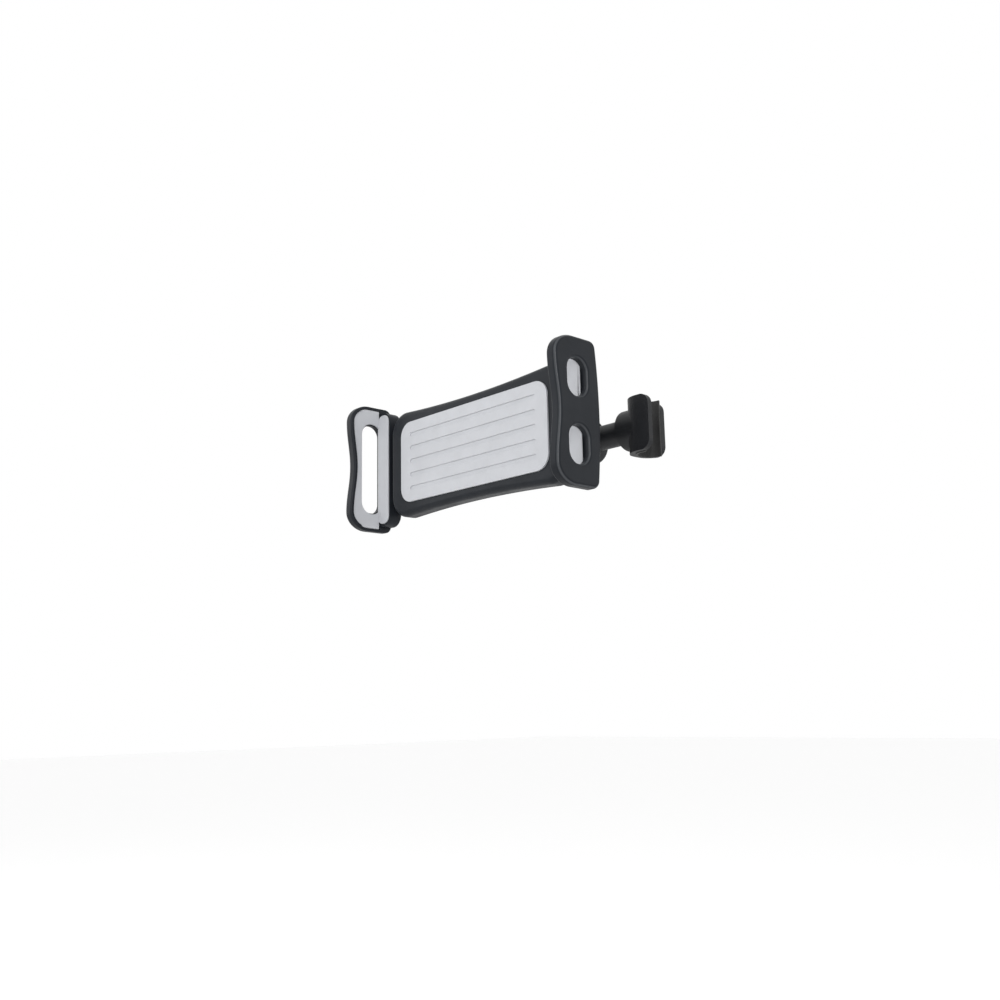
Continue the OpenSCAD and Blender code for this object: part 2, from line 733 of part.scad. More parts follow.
module ball_socket() color(clamp_black) {
    difference() {
        turned_y() difference() {
            polygon([
                [0, y_disc0], [disc_r, y_disc0], [disc_r, y_disc1], [spin_r, y_disc1],
                [spin_r, y_back + 1.2], [socket_r, y_back + 1.6], [socket_r, y_ball + 1],
                [socket_in_r + 0.45, y_finger], [0, y_finger]]);
            translate([0, y_ball]) circle(socket_in_r);
            translate([-1, y_ball]) square([ball_r, over]);
        }
        for (i = [0:finger_slots - 1]) rotate([0, 360 * i / finger_slots, 0])
            translate([socket_in_r - ball_r / 2, y_ball - ball_r / 2, -finger_slot / 2])
                cube([over, over, finger_slot]);
    }
}

module lock_nut() color(clamp_black) {
    lobe_r = 2.6;
    core_r = nut_d / 2 - 1.4;
    difference() {
        union() {
            turned_y() polygon([
                [0, y_nut0], [core_r - 0.6, y_nut0], [core_r, y_nut0 + 0.6], [core_r, y_nut1 - 2],
                [core_r - 1.6, y_nut1], [0, y_nut1]]);
            intersection() {
                for (i = [0:nut_lobes - 1]) rotate([0, 360 * i / nut_lobes, 0])
                    translate([nut_d / 2 - lobe_r, 0, 0]) rod_y(lobe_r, y_nut0, y_nut1);
                turned_y() polygon([
                    [0, y_nut0], [nut_d / 2 - 0.6, y_nut0], [nut_d / 2, y_nut0 + 0.6],
                    [nut_d / 2, y_nut1 - 3], [core_r - 1.6, y_nut1], [0, y_nut1]]);
            }
        }
        turned_y() polygon([
            [0, y_nut0 - 1], [nut_in_r, y_nut0 - 1], [nut_in_r, y_ball + 1.2],
            [socket_in_r + 0.8, y_ball + 3.9], [nut_mouth_r, y_ball + 3.9], [nut_mouth_r, y_nut1 + 1], [0, y_nut1 + 1]]);
    }
}

module front_housing() color(jaw_grey) {
    difference() {
        union() {
            difference() {
                intersection() {
                    body_slab();
                    plate_y(y_front - 1, y_split) square([3 * body_half, 2 * body_h], center = true);
                }
                plate_y(y_hollow0, y_back) body_outline(body_wall);
            }
            intersection() {
                union() {
                    arm_guides();
                    cover_screw_places() rod_y(screw_r + 1.6, y_hollow0 - 0.5, y_split);
                }
                plate_y(y_front, y_split) body_outline(body_wall / 2);
            }
            for (s = [-1, 1]) translate([s * spring_x1, 0, s * spring_z])
                rod_y(spring_pin_r, y_hollow0 - 0.5, y_arm1);
        }
        arm_slots();
        plate_y(y_front - 1, y_front + grip_sink) grip_outline(0);
        cover_screw_places() rod_y(screw_r + 0.02, y_hollow0, y_back);
        rod_y(axle_r + 0.02, y_hollow0 - 0.9, y_back);
    }
}

module rear_cover() color(jaw_grey) {
    difference() {
        union() {
            difference() {
                intersection() {
                    body_slab();
                    plate_y(y_split, y_back + 1) square([3 * body_half, 2 * body_h], center = true);
                }
                plate_y(y_front, y_hollow1) body_outline(body_wall);
            }
            cover_screw_places() rod_y(screw_r + 1.6, y_split, y_back - 0.5);
            retainer_screw_places() rod_y(screw_r + 1.3, y_retainer1, y_back - 0.5);
            turned_y() polygon([
                [spin_r, y_hollow1], [spin_r + 3.4, y_hollow1], [spin_r + 3.4, y_back],
                [spin_r + 2.2, y_back + 0.8], [spin_r, y_back + 0.8]]);
        }
        rod_y(spin_r + run_gap, y_split - 1, y_back + 2);
        cover_screw_places() {
            rod_y(screw_r + run_gap, y_split - 1, y_back);
            rod_y(head_r + run_gap, y_back - head_h, y_back + 1);
        }
        retainer_screw_places() rod_y(screw_r + 0.02, y_retainer1 - 1, y_hollow1 + 0.8);
    }
}

module grip_pad() color(silicone_grey) {
    difference() {
        plate_y(y_device, y_front + grip_sink) grip_outline(0.1);
        for (i = [1:grip_grooves]) translate([0, 0, grip_h * (i / (grip_grooves + 1) - 0.5)])
            plate_y(y_device - 1, y_device + 0.5) round_rect(grip_w - 16, groove_w, groove_w * 0.49);
    }
}

module cover_screws() color(steel) {
    cover_screw_places() difference() {
        union() {
            rod_y(screw_r, y_hollow0 + 0.4, y_back - head_h + 0.01);
            rod_y(head_r, y_back - head_h, y_back - 0.2);
        }
        rod_y(screw_r * 0.7, y_back - 0.9, y_back + 1, $fn = 6);
    }
}

module socket_retainer() color(steel) {
    difference() {
        intersection() {
            rod_y(retainer_r, y_retainer0, y_retainer1);
            translate([-over * 2, -over * 3, -retainer_flat]) cube([over * 4, over * 4, 2 * retainer_flat]);
        }
        rod_y(axle_r + 0.02, y_retainer0 - 1, y_retainer1 + 1);
        retainer_screw_places() turned_y() polygon([
            [0, y_retainer0 - 0.1], [head_r + run_gap, y_retainer0 - 0.1],
            [screw_r + run_gap, y_retainer1 + 0.1], [0, y_retainer1 + 0.1]]);
    }
}

module retainer_screws() color(steel) {
    retainer_screw_places() turned_y() polygon([
        [0, y_retainer0], [head_r - 0.1, y_retainer0], [screw_r, y_retainer1],
        [screw_r, y_hollow1 + 0.6], [0, y_hollow1 + 0.6]]);
}

module pinion_axle() color(steel) rod_y(axle_r, y_hollow0 - 0.8, y_retainer1);

module pinion() color(nylon_white) {
    difference() {
        plate_y(y_arm0 + 0.1, y_arm1 - 0.1) pinion_outline();
        rod_y(axle_r + run_gap, y_arm0 - 1, y_arm1 + 1);
    }
}

module left_spring() color(steel) jaw_spring();
module right_spring() color(steel) rotate([0, 180, 0]) jaw_spring();
module left_arm() color(steel) arm_shape();
module right_arm() color(steel) rotate([0, 180, 0]) arm_shape();
module left_jaw() color(jaw_grey) left_side() jaw(true, 1);
module right_jaw() color(jaw_grey) right_side() jaw(false, -1);
module left_jaw_pad() color(silicone_grey) left_side() jaw_pad(true);
module right_jaw_pad() color(silicone_grey) right_side() jaw_pad(false);
module left_jaw_screws() color(steel) left_side() jaw_screws(1);
module right_jaw_screws() color(steel) right_side() jaw_screws(-1);

outer_tube();
tube_collet();
ball_stud();
left_hook();
left_hook_liner();
left_hook_screw();
sliding_rod();
right_hook();
right_hook_liner();
right_hook_screw();
lock_collar();
ball_seat();
ball_socket();
lock_nut();
front_housing();
rear_cover();
grip_pad();
cover_screws();
socket_retainer();
retainer_screws();
pinion_axle();
left_spring();
right_spring();
pinion();
left_arm();
left_jaw();
left_jaw_pad();
left_jaw_screws();
right_arm();
right_jaw();
right_jaw_pad();
right_jaw_screws();
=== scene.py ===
import json
import logging
import math
from dataclasses import dataclass, field
from enum import Enum
from typing import Iterable, Sequence

import bmesh
import bpy
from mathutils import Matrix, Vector
from mathutils.kdtree import KDTree


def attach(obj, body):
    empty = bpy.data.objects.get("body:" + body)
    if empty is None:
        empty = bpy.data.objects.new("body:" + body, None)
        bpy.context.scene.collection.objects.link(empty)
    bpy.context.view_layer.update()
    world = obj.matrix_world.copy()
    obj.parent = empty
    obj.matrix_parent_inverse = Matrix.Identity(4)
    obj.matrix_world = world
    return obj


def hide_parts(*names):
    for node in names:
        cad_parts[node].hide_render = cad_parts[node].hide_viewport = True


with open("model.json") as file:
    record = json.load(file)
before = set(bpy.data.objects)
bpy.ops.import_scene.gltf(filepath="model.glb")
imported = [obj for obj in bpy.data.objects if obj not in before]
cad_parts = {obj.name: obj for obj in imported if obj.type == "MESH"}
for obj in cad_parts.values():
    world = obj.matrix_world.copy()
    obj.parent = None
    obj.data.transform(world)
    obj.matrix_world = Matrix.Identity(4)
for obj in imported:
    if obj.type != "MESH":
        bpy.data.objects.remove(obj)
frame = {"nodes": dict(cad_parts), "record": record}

# Dressed model of a phone and tablet holder that hangs between the posts of a car's headrest.
# X runs along the clamp bar, -Y faces the person behind the seat, +Z is up. The sizes of the
# holder are in mm and are scaled by MM; materials, lamps and the camera are in metres.

LOG = logging.getLogger("headrest_holder")
MM = 0.001
FAR = 80.0  # mm from the middle: past the whole holder in Y and Z, for the ends of cutters
NIP = 0.02  # mm by which a cutter or an envelope passes a face that it shares
CREASE = 38.0  # degrees; edges sharper than this keep a crease
NODE_WELD = 0.002 * MM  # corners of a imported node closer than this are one
MIX_LOW, MIX_HIGH, MIX_RESULT = 6, 7, 2  # places of the colour sockets on a mix node

Point = tuple[float, float]
Layer = tuple[float, float]
Colour = tuple[float, float, float]
Piece = bpy.types.Object
Socket = bpy.types.NodeSocket


class Side(Enum):
    """The two ends of the holder; the value is the sign of X."""

    LEFT = -1
    RIGHT = 1


class Axis(Enum):
    """The direction that an outline is drawn out along."""

    X = 0
    Y = 1


class Hollow(Enum):
    """How a cutter is used on a piece."""

    CUT = "DIFFERENCE"
    KEEP = "INTERSECT"


# Finishes


class NodeSheet:
    """Thin layer over a material's node tree that keeps the wiring readable."""

    def __init__(self, name: str) -> None:
        """Starts a material with one shader.

        Args:
            name: name of the material.
        """
        self.material = bpy.data.materials.new(name)
        self.material.use_nodes = True
        self.tree = self.material.node_tree
        self.shader = self.tree.nodes["Principled BSDF"]
        self.place = self.add("ShaderNodeTexCoord").outputs["Object"]

    def add(self, kind: str, **values: object) -> bpy.types.Node:
        """Adds a node and sets its fields or its input sockets.

        Args:
            kind: type name of the node.
            values: fields of the node, or the defaults of sockets of that name.

        Returns:
            The new node.
        """
        node = self.tree.nodes.new(kind)
        for key, value in values.items():
            if hasattr(node, key):
                setattr(node, key, value)
            else:
                node.inputs[key.replace("_", " ")].default_value = value
        return node

    def wire(self, out: Socket, to: Socket) -> None:
        """Joins two sockets."""
        self.tree.links.new(out, to)

    def noise(self, size: float, detail: float = 2.0,
              stretch: Sequence[float] = (1, 1, 1)) -> Socket:
        """A cloudy pattern of a given grain.

        Args:
            size: size of a grain in metres.
            detail: number of finer octaves.
            stretch: scale of the pattern along each axis.

        Returns:
            The pattern's value, near 0.5 on average.
        """
        mapping = self.add("ShaderNodeMapping")
        mapping.inputs["Scale"].default_value = stretch
        self.wire(self.place, mapping.inputs["Vector"])
        node = self.add("ShaderNodeTexNoise", Scale=1.0 / size, Detail=detail, Roughness=0.55)
        self.wire(mapping.outputs[0], node.inputs["Vector"])
        return node.outputs["Fac"]

    def span(self, source: Socket, low: float, high: float,
             start: float = 0.3, stop: float = 0.7) -> Socket:
        """Maps a pattern onto a range of numbers.

        Args:
            source: pattern to read.
            low: value at the start of the pattern.
            high: value at the end of the pattern.
            start: pattern value that gives low.
            stop: pattern value that gives high.

        Returns:
            The mapped value.
        """
        node = self.add("ShaderNodeMapRange", From_Min=start, From_Max=stop,
                        To_Min=low, To_Max=high)
        self.wire(source, node.inputs["Value"])
        return node.outputs["Result"]

    def sum_up(self, operation: str, *sources: Socket) -> Socket:
        """Does one sum on patterns.

        Args:
            operation: name of the sum on a math node.
            sources: one or two patterns.

        Returns:
            The result.
        """
        node = self.add("ShaderNodeMath", operation=operation)
        for source, socket in zip(sources, node.inputs):
            self.wire(source, socket)
        return node.outputs[0]

    def blend(self, low: Colour | Socket, high: Colour, amount: Socket) -> Socket:
        """Mixes two colours by a pattern.

        Args:
            low: colour where the amount is 0, or a socket that gives it.
            high: colour where the amount is 1.
            amount: pattern from 0 to 1.

        Returns:
            The mixed colour.
        """
        node = self.add("ShaderNodeMix", data_type="RGBA")
        if isinstance(low, Socket):
            self.wire(low, node.inputs[MIX_LOW])
        else:
            node.inputs[MIX_LOW].default_value = (*low, 1.0)
        node.inputs[MIX_HIGH].default_value = (*high, 1.0)
        self.wire(amount, node.inputs["Factor"])
        return node.outputs[MIX_RESULT]

    def worn_edges(self, radius: float, reach: float) -> Socket:
        """Finds the edges of a piece, where hands and posts rub it.

        Args:
            radius: width of the worn band in metres.
            reach: how strongly the band shows.

        Returns:
            0 on open faces, up to reach on edges.
        """
        rounded = self.add("ShaderNodeBevel", samples=4, Radius=radius)
        flat = self.add("ShaderNodeNewGeometry")
        dot = self.add("ShaderNodeVectorMath", operation="DOT_PRODUCT")
        self.wire(rounded.outputs[0], dot.inputs[0])
        self.wire(flat.outputs["Normal"], dot.inputs[1])
        return self.span(dot.outputs["Value"], reach, 0.0, 0.80, 0.995)

    def side_band(self, low: float, high: float) -> Socket:
        """Finds a band near both ends of the holder, by its distance from the middle.

        Args:
            low: distance along X where the band starts, in metres.
            high: distance along X where it ends.

        Returns:
            1 in the band, 0 outside it, with soft borders.
        """
        parts = self.add("ShaderNodeSeparateXYZ")
        self.wire(self.place, parts.inputs[0])
        away = self.sum_up("ABSOLUTE", parts.outputs["X"])
        return self.sum_up("MULTIPLY",
                           self.span(away, 0.0, 1.0, low, low + 0.4 * MM),
                           self.span(away, 1.0, 0.0, high - 0.2 * MM, high))

    def bump(self, *layers: tuple[Socket, float]) -> None:
        """Stacks height patterns on the shader's normal.

        Args:
            layers: each a pattern and its height in metres.
        """
        last = None
        for source, height in layers:
            node = self.add("ShaderNodeBump", Strength=1.0, Distance=height)
            self.wire(source, node.inputs["Height"])
            if last is not None:
                self.wire(last, node.inputs["Normal"])
            last = node.outputs["Normal"]
        self.wire(last, self.shader.inputs["Normal"])

    def finish(self, colour: Socket, roughness: Socket, **plain: object) -> bpy.types.Material:
        """Wires colour and roughness to the shader and sets its plain values.

        Args:
            colour: what the base colour reads.
            roughness: what the roughness reads.
            plain: values that are the same all over, by the socket's name.

        Returns:
            The finished material.
        """
        self.wire(colour, self.shader.inputs["Base Color"])
        self.wire(roughness, self.shader.inputs["Roughness"])
        for key, value in plain.items():
            self.shader.inputs[key.replace("_", " ")].default_value = value
        return self.material


def shade(colour: Colour, factor: float) -> Colour:
    """A colour made lighter or darker by a factor."""
    return (colour[0] * factor, colour[1] * factor, colour[2] * factor)


@dataclass(frozen=True)
class Finish:
    """What all finishes share: a colour and a roughness that drift in soft clouds."""

    name: str
    slot: str
    colour: Colour
    roughness: float

    def clouded(self, sheet: NodeSheet, pattern: Socket, low: float, high: float) -> Socket:
        """The colour, drifting by a pattern between two shares of itself."""
        cloud = sheet.span(pattern, 0.0, 1.0)
        return sheet.blend(shade(self.colour, low), shade(self.colour, high), cloud)

    def gloss(self, sheet: NodeSheet, pattern: Socket, below: float, above: float) -> Socket:
        """The roughness, drifting by a pattern below and above its own value."""
        return sheet.span(pattern, self.roughness - below, self.roughness + above)

    def build(self) -> bpy.types.Material:
        """Makes the material; each kind of finish has its own way."""
        raise NotImplementedError


@dataclass(frozen=True)
class MouldedPlastic(Finish):
    """Plastic from a spark-eroded mould: fine grain, slow colour drift, worn edges a little
    lighter, and where asked a band of painted highlight that is also less rough.
    """

    cloud: float = 14 * MM  # size of the clouds in the colour
    smudge: float = 6 * MM  # size of the clouds in the gloss
    wave: float = 2.2 * MM
    wave_depth: float = 0.02 * MM
    grain: float = 0.28 * MM
    depth: float = 0.012 * MM
    wear: float = 0.2
    worn_width: float = 0.5 * MM
    worn_share: float = 1.9  # of the colour, on a worn edge
    specular: float = 0.28
    painted_highlight_band: tuple[float, float] | None = None  # where a band of painted highlight starts and ends along X
    highlight_shares: Colour = (3.534, 3.8, 4.18)  # of the colour's mean: the painted highlight's colour in the band
    highlight_band_polish: float = 0.14  # by which the band is less rough

    def build(self) -> bpy.types.Material:
        """Makes the material.

        Returns:
            The finished material.
        """
        sheet = NodeSheet(self.name)
        skin = self.clouded(sheet, sheet.noise(self.cloud, 3.0), 0.90, 1.10)
        edge = sheet.worn_edges(self.worn_width, self.wear)
        skin = sheet.blend(skin, shade(self.colour, self.worn_share), edge)
        rough = self.gloss(sheet, sheet.noise(self.smudge, 4.0), 0.05, 0.07)
        if self.painted_highlight_band is not None:
            # Painted highlight: a band near each end along X is painted much lighter, where light
            # would glint on the jaw's rounded edge, and made less rough.
            band = sheet.side_band(*self.painted_highlight_band)
            skin = sheet.blend(skin, shade(self.highlight_shares, sum(self.colour) / 3), band)
            polish = sheet.span(band, 0.0, self.highlight_band_polish, 0.0, 1.0)
            rough = sheet.sum_up("SUBTRACT", rough, polish)
        fine = sheet.add("ShaderNodeTexVoronoi", feature="SMOOTH_F1", Scale=1.0 / self.grain)
        sheet.wire(sheet.place, fine.inputs["Vector"])
        sheet.bump((sheet.noise(self.wave, 2.0), self.wave_depth),
                   (fine.outputs["Distance"], self.depth))
        return sheet.finish(skin, rough, Specular_IOR_Level=self.specular)


@dataclass(frozen=True)
class SoftRubber(Finish):
    """Matt silicone or rubber: dusty bloom, broad soft gloss and a faint skin texture."""

    cloud: float = 9 * MM
    smudge: float = 4 * MM
    wave: float = 3 * MM
    wave_depth: float = 0.03 * MM
    pore: float = 0.35 * MM
    pore_depth: float = 0.01 * MM
    bloom: float = 0.12  # share by which dust lightens and dirt darkens the colour
    sheen: float = 0.12
    sheen_roughness: float = 0.5

    def build(self) -> bpy.types.Material:
        """Makes the material.

        Returns:
            The finished material.
        """
        sheet = NodeSheet(self.name)
        dust = sheet.noise(self.cloud, 5.0)
        skin = self.clouded(sheet, dust, 1.0 - self.bloom, 1.0 + self.bloom)
        rough = self.gloss(sheet, sheet.noise(self.smudge, 3.0), 0.06, 0.06)
        sheet.bump((sheet.noise(self.wave, 2.0), self.wave_depth),
                   (sheet.noise(self.pore, 1.0), self.pore_depth))
        return sheet.finish(skin, rough, Sheen_Weight=self.sheen,
                            Sheen_Roughness=self.sheen_roughness)


@dataclass(frozen=True)
class NaturalNylon(Finish):
    """Uncoloured nylon, slightly translucent, with a waxy gloss."""

    cloud: float = 5 * MM
    smudge: float = 2 * MM
    wave: float = 1.2 * MM
    wave_depth: float = 0.01 * MM
    translucence: float = 0.15
    bleed: tuple[float, float, float] = (1.0 * MM, 0.9 * MM, 0.7 * MM)

    def build(self) -> bpy.types.Material:
        """Makes the material.

        Returns:
            The finished material.
        """
        sheet = NodeSheet(self.name)
        skin = self.clouded(sheet, sheet.noise(self.cloud, 3.0), 0.94, 1.04)
        rough = self.gloss(sheet, sheet.noise(self.smudge, 2.0), 0.05, 0.08)
        sheet.bump((sheet.noise(self.wave, 2.0), self.wave_depth))
        return sheet.finish(skin, rough, Subsurface_Weight=self.translucence,
                            Subsurface_Radius=self.bleed)


@dataclass(frozen=True)
class ZincSteel(Finish):
    """Zinc-plated or drawn steel: metallic, with fine lines along the way it was worked."""

    cloud: float = 1.6 * MM
    line: float = 0.5 * MM
    line_depth: float = 0.006 * MM
    lines: tuple[float, float, float] = (1.0, 1.0, 1.0)  # stretch along each axis

    def build(self) -> bpy.types.Material:
        """Makes the material.

        Returns:
            The finished material.
        """
        sheet = NodeSheet(self.name)
        skin = self.clouded(sheet, sheet.noise(self.cloud, 4.0), 0.82, 1.08)
        worked = sheet.noise(self.line, 3.0, self.lines)
        rough = self.gloss(sheet, worked, 0.07, 0.10)
        sheet.bump((worked, self.line_depth))
        return sheet.finish(skin, rough, Metallic=1.0)


@dataclass
class Palette:
    """All the finishes of the holder, one for each material slot."""

    finishes: tuple[Finish, ...] = (
        # The jaw plastic carries a painted highlight along the rounded outer edge of each end wall.
        MouldedPlastic("jaw plastic", "cradle_plastic", (0.0132, 0.0154, 0.0192), 0.38,
                       wear=0.15, specular=0.14, painted_highlight_band=(79.5 * MM, 80.6 * MM)),
        MouldedPlastic("clamp plastic", "clamp_plastic", (0.0105, 0.0112, 0.0130), 0.46,
                       wear=0.12),
        MouldedPlastic("arm nylon", "arm_nylon", (0.020, 0.021, 0.023), 0.42,
                       depth=0.006 * MM, wear=0.15),
        SoftRubber("pale silicone", "silicone", (0.47, 0.48, 0.505), 0.62, bloom=0.035),
        SoftRubber("black rubber", "liner_rubber", (0.014, 0.014, 0.014), 0.68, bloom=0.25),
        NaturalNylon("natural nylon", "nylon", (0.70, 0.69, 0.63), 0.34),
        ZincSteel("zinc steel", "steel", (0.56, 0.57, 0.59), 0.30),
        ZincSteel("spring wire", "spring_steel", (0.50, 0.51, 0.53), 0.26, lines=(0.2, 1.0, 1.0)),
    )
    made: dict[str, bpy.types.Material] = field(default_factory=dict)

    def build(self) -> None:
        """Makes every material once."""
        for finish in self.finishes:
            self.made[finish.slot] = finish.build()

    def dress(self, piece: Piece, slot: str) -> None:
        """Gives a piece the finish of a material slot.

        Args:
            piece: new piece, or a node of the frame.
            slot: name of the slot in the record.
        """
        piece.data.materials.clear()
        piece.data.materials.append(self.made[slot])
        for polygon in piece.data.polygons:
            polygon.material_index = 0


# Outlines and layers, in mm


def arc(cu: float, cv: float, ru: float, rv: float, a0: float, a1: float, n: int) -> list[Point]:
    """Points along an ellipse's arc, in degrees, both ends included."""
    turn = [math.radians(a0 + (a1 - a0) * i / n) for i in range(n + 1)]
    return [(cu + ru * math.cos(a), cv + rv * math.sin(a)) for a in turn]


def round_rect(w: float, h: float, r: float, n: int) -> list[Point]:
    """Outline of a centred rectangle with round corners of n steps, going round to the left."""
    u, v = w / 2 - r, h / 2 - r
    return (arc(u, v, r, r, 0, 90, n) + arc(-u, v, r, r, 90, 180, n)
            + arc(-u, -v, r, r, 180, 270, n) + arc(u, -v, r, r, 270, 360, n))


def moved(outline: Iterable[Point], u: float, v: float) -> list[Point]:
    """The same outline in another place."""
    return [(u + p[0], v + p[1]) for p in outline]


def even(outline: Sequence[Point], count: int) -> list[Point]:
    """The same outline with evenly spaced points.

    Args:
        outline: closed list of points.
        count: number of points to return.

    Returns:
        Points at equal steps along the outline.
    """
    ring = [Vector(p) for p in outline] + [Vector(outline[0])]
    steps = [(b - a).length for a, b in zip(ring, ring[1:])]
    total = sum(steps)
    result: list[Point] = []
    k, walked = 0, 0.0
    for i in range(count):
        goal = total * i / count
        while walked + steps[k] < goal:
            walked += steps[k]
            k += 1
        share = (goal - walked) / steps[k] if steps[k] > 0 else 0.0
        spot = ring[k].lerp(ring[k + 1], share)
        result.append((spot.x, spot.y))
    return result


def inset(outline: Sequence[Point], distance: float) -> list[Point]:
    """An outline moved inwards, point by point.

    Args:
        outline: closed list of points, going round to the left.
        distance: how far each point moves; a negative number moves it outwards.

    Returns:
        As many points, in the same order.
    """
    count = len(outline)
    result = []
    for i, p in enumerate(outline):
        along = Vector(outline[(i + 1) % count]) - Vector(outline[i - 1])
        k = distance / along.length
        result.append((p[0] - k * along.y, p[1] + k * along.x))
    return result


def quarter(start: float, depth: float, width: float, outward: bool, n: int = 6) -> list[Layer]:
    """Layers of a rounded edge.

    Args:
        start: place of the edge's outermost level along the axis.
        depth: how far the rounding runs along the axis.
        width: how far it draws the outline in.
        outward: True where the edge closes towards larger places.
        n: number of steps.

    Returns:
        Layers of (place, inset), in the order of growing place.
    """
    layers = []
    for i in range(n + 1):
        a = math.radians(90 * i / n)
        layers.append((start + depth * (1 - math.cos(a)), width * (1 - math.sin(a))))
    return [(2 * start - p, w) for p, w in reversed(layers)] if outward else layers


# Work by hand in edit mode


def only(piece: Piece) -> None:
    """Selects one piece alone and makes it active, in object mode.

    Args:
        piece: piece to select.
    """
    if bpy.context.object is not None and bpy.context.object.mode != "OBJECT":
        bpy.ops.object.mode_set(mode="OBJECT")
    bpy.ops.object.select_all(action="DESELECT")
    bpy.context.view_layer.objects.active = piece
    piece.select_set(True)


def apply(piece: Piece, kind: str, **settings: object) -> None:
    """Adds one modifier to a piece and applies it.

    Args:
        piece: piece to change.
        kind: type of the modifier.
        settings: fields of the modifier.
    """
    only(piece)
    modifier = piece.modifiers.new(kind.title(), kind)
    for key, value in settings.items():
        setattr(modifier, key, value)
    bpy.ops.object.modifier_apply(modifier=modifier.name)


def draw_out(name: str, outline: Sequence[Point], layers: Sequence[Layer], axis: Axis,
             flip: bool = False) -> Piece:
    """Draws an outline out: a filled circle is shaped, then extruded and shaped at each level.

    Args:
        name: name of the piece.
        outline: points in mm; (Y, Z) along X, or (X, Z) along Y.
        layers: (place along the axis, inset), in mm, in growing order.
        axis: direction to draw the outline out.
        flip: True to mirror the place along the axis.

    Returns:
        A closed piece at the origin.
    """
    def spot(p: Point, place: float) -> Vector:
        """A point of the outline at a level, in metres."""
        if axis is Axis.X:
            return Vector((-place if flip else place, p[0], p[1])) * MM
        return Vector((p[0], place, p[1])) * MM

    bpy.ops.object.select_all(action="DESELECT")
    bpy.ops.mesh.primitive_circle_add(vertices=len(outline), radius=1.0, fill_type="NGON")
    piece = bpy.context.object
    piece.name = name
    first, drawn_in = layers[0]
    previous = [spot(p, first) for p in inset(outline, drawn_in)]
    for vertex, place in zip(piece.data.vertices, previous):
        vertex.co = place
    bpy.ops.object.mode_set(mode="EDIT")
    bpy.ops.mesh.select_all(action="SELECT")
    bpy.ops.mesh.select_mode(type="FACE")
    for place, drawn_in in layers[1:]:
        bpy.ops.mesh.extrude_region_move()
        shape = bmesh.from_edit_mesh(piece.data)
        tree = KDTree(len(previous))
        for i, p in enumerate(previous):
            tree.insert(p, i)
        tree.balance()
        ring = [spot(p, place) for p in inset(outline, drawn_in)]
        for vertex in (v for v in shape.verts if v.select):
            vertex.co = ring[tree.find(vertex.co)[1]]
        previous = ring
        bmesh.update_edit_mesh(piece.data)
    bpy.ops.mesh.select_all(action="SELECT")
    bpy.ops.mesh.normals_make_consistent(inside=False)
    bpy.ops.object.mode_set(mode="OBJECT")
    return piece


def block(name: str, low: Sequence[float], high: Sequence[float]) -> Piece:
    """A square-edged cutter between two corners, in mm.

    Args:
        name: name of the cutter.
        low: lowest corner.
        high: highest corner.

    Returns:
        The cutter, at the origin.
    """
    bpy.ops.object.select_all(action="DESELECT")
    middle = [(a + b) / 2 * MM for a, b in zip(low, high)]
    bpy.ops.mesh.primitive_cube_add(size=1.0, location=middle)
    piece = bpy.context.object
    piece.name = name
    piece.scale = [(b - a) * MM for a, b in zip(low, high)]
    bpy.ops.object.transform_apply(location=True, rotation=True, scale=True)
    return piece


def peg(name: str, spot: Sequence[float], radius: float, length: float, sides: int = 48) -> Piece:
    """A round cutter along Y, in mm.

    Args:
        name: name of the cutter.
        spot: middle of the cutter.
        radius: its radius.
        length: its length along Y.
        sides: number of faces round it.

    Returns:
        The cutter, at the origin.
    """
    bpy.ops.object.select_all(action="DESELECT")
    bpy.ops.mesh.primitive_cylinder_add(
        vertices=sides, radius=radius * MM, depth=length * MM,
        location=[c * MM for c in spot], rotation=(math.pi / 2, 0, 0))
    piece = bpy.context.object
    piece.name = name
    bpy.ops.object.transform_apply(location=True, rotation=True, scale=True)
    return piece


def carve(piece: Piece, cutters: Iterable[Piece], how: Hollow = Hollow.CUT) -> None:
    """Cuts pieces out of a piece, or keeps only what they share, and clears the cutters away.

    Args:
        piece: piece to change.
        cutters: pieces to cut with.
        how: cut away or keep.
    """
    for cutter in cutters:
        apply(piece, "BOOLEAN", operation=how.value, object=cutter, solver="EXACT")
        bpy.data.objects.remove(cutter, do_unlink=True)


def join(piece: Piece, other: Piece) -> None:
    """Melts another piece into this one."""
    apply(piece, "BOOLEAN", operation="UNION", object=other, solver="EXACT")
    bpy.data.objects.remove(other, do_unlink=True)


def clean(piece: Piece, tolerance: float = 0.004 * MM, flat: float = 0.0) -> None:
    """Merges doubled corners and, where asked, melts flat triangles into whole faces.

    Args:
        piece: piece to clean.
        tolerance: distance in metres under which corners are one.
        flat: largest angle in degrees between faces that count as one flat face, or 0 for none.
    """
    only(piece)
    bpy.ops.object.mode_set(mode="EDIT")
    bpy.ops.mesh.select_all(action="SELECT")
    bpy.ops.mesh.remove_doubles(threshold=tolerance)
    if flat > 0:
        bpy.ops.mesh.dissolve_limited(angle_limit=math.radians(flat))
    bpy.ops.object.mode_set(mode="OBJECT")


def ease_edges(piece: Piece, width: float, segments: int = 2, angle: float = 32.0) -> None:
    """Rounds the sharp edges of a piece and shades it smooth, with its large faces flat.

    Args:
        piece: piece to round.
        width: width of the rounding in mm.
        segments: steps over the rounding.
        angle: smallest edge angle that is rounded, in degrees.
    """
    apply(piece, "BEVEL", width=width * MM, segments=segments, limit_method="ANGLE",
          angle_limit=math.radians(angle), use_clamp_overlap=True, miter_outer="MITER_ARC")
    only(piece)
    bpy.ops.object.shade_smooth_by_angle(angle=math.radians(CREASE))
    apply(piece, "WEIGHTED_NORMAL", keep_sharp=True)


